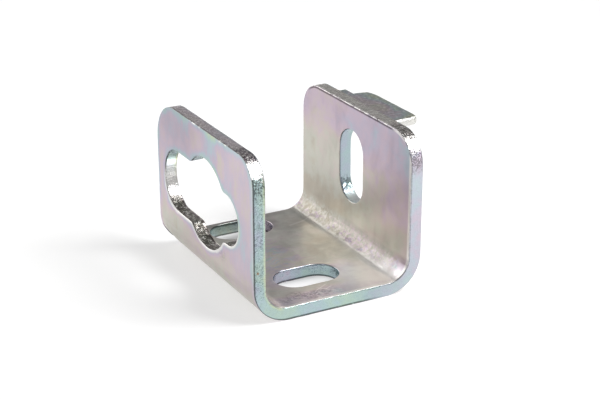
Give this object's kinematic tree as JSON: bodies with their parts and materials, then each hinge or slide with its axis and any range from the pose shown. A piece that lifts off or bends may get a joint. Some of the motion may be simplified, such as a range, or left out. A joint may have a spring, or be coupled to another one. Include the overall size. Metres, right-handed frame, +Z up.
{
  "type": "stamped metal bracket",
  "caption": "U-shaped stamped steel bracket with slotted floor, one slotted wall, a lobed cut-out in the other wall and a short outward lip.",
  "frame": {"origin": "middle of the floor's underside, the face that the bracket is bolted down on", "axes": "+X from the cut-out wall to the lip wall, +Y along the two folds, from the front end to the back end, +Z up the walls"},
  "size_m": [0.0461, 0.0474, 0.036],
  "materials": {
    "zinc_plated_steel": "satin, clear blue-iridescent passivated zinc plate"
  },
  "bodies": {
    "root": {"bracket": "zinc_plated_steel"}
  },
  "joints": []
}
